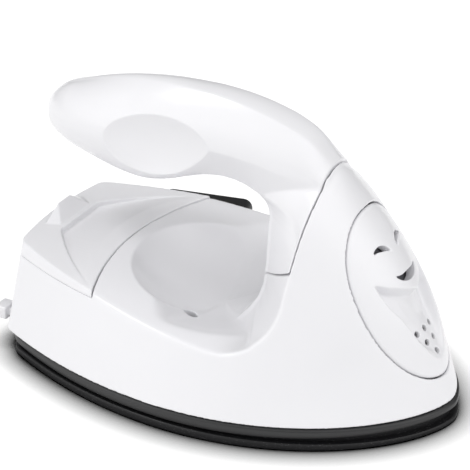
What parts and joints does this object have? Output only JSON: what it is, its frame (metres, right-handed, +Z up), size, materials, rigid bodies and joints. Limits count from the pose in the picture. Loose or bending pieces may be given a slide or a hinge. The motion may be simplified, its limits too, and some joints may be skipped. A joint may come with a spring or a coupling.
{
  "type": "mini heat press",
  "caption": "Palm-sized craft iron with a boat-shaped sole, white moulded housing, arched handle, faceted rear cover and a smiling face plate.",
  "frame": {"origin": "underside of the sole plate, on the middle line, below the widest part", "axes": "+X towards the nose, +Y to port (the mains inlet's side), +Z up out of the sole"},
  "size_m": [0.1066, 0.0686, 0.0659],
  "materials": {
    "white_plastic": "satin moulded white",
    "black_plastic": "satin black",
    "coated_aluminium": "black non-stick coating",
    "steel": "plain",
    "brass": "plain",
    "dark_insert": "matte",
    "circuit_board": "lacquered",
    "ceramic": "unglazed",
    "clear_lens": "clear",
    "wire_insulation": "matte"
  },
  "bodies": {
    "iron": {"sole_plate": "coated_aluminium", "heat_shield": "black_plastic", "body_shell": "white_plastic", "rear_cover": "white_plastic", "handle": "white_plastic", "face_plate": "white_plastic", "inlet_housing": "black_plastic", "face_insert": "dark_insert", "inlet_pin_front": "brass", "inlet_pin_rear": "brass", "selector_switch": "black_plastic", "heating_element": "steel", "heater_clamp_front": "steel", "heater_clamp_rear": "steel", "thermostat": "ceramic", "thermal_fuse": "ceramic", "insulation_sheet": "ceramic", "circuit_board": "circuit_board", "relay": "black_plastic", "resistor_port": "ceramic", "resistor_starboard": "ceramic", "indicator_lamp": "clear_lens", "mains_wire_front": "wire_insulation", "mains_wire_rear": "wire_insulation", "heater_wire_port": "wire_insulation", "heater_wire_starboard": "wire_insulation", "lamp_lead_port": "black_plastic", "lamp_lead_starboard": "black_plastic", "sole_screw_rear": "steel", "sole_screw_front": "steel", "handle_screw_port": "steel", "handle_screw_starboard": "steel", "cover_screw_port": "steel", "cover_screw_starboard": "steel", "board_screw_port": "steel", "board_screw_starboard": "steel"},
    "selector": {"selector_knob": "white_plastic"}
  },
  "joints": [
    {"name": "selector_slide", "type": "slide", "parent": "iron", "child": "selector", "axis": [0, 1, 0], "range_m": [0, 0.008]}
  ]
}
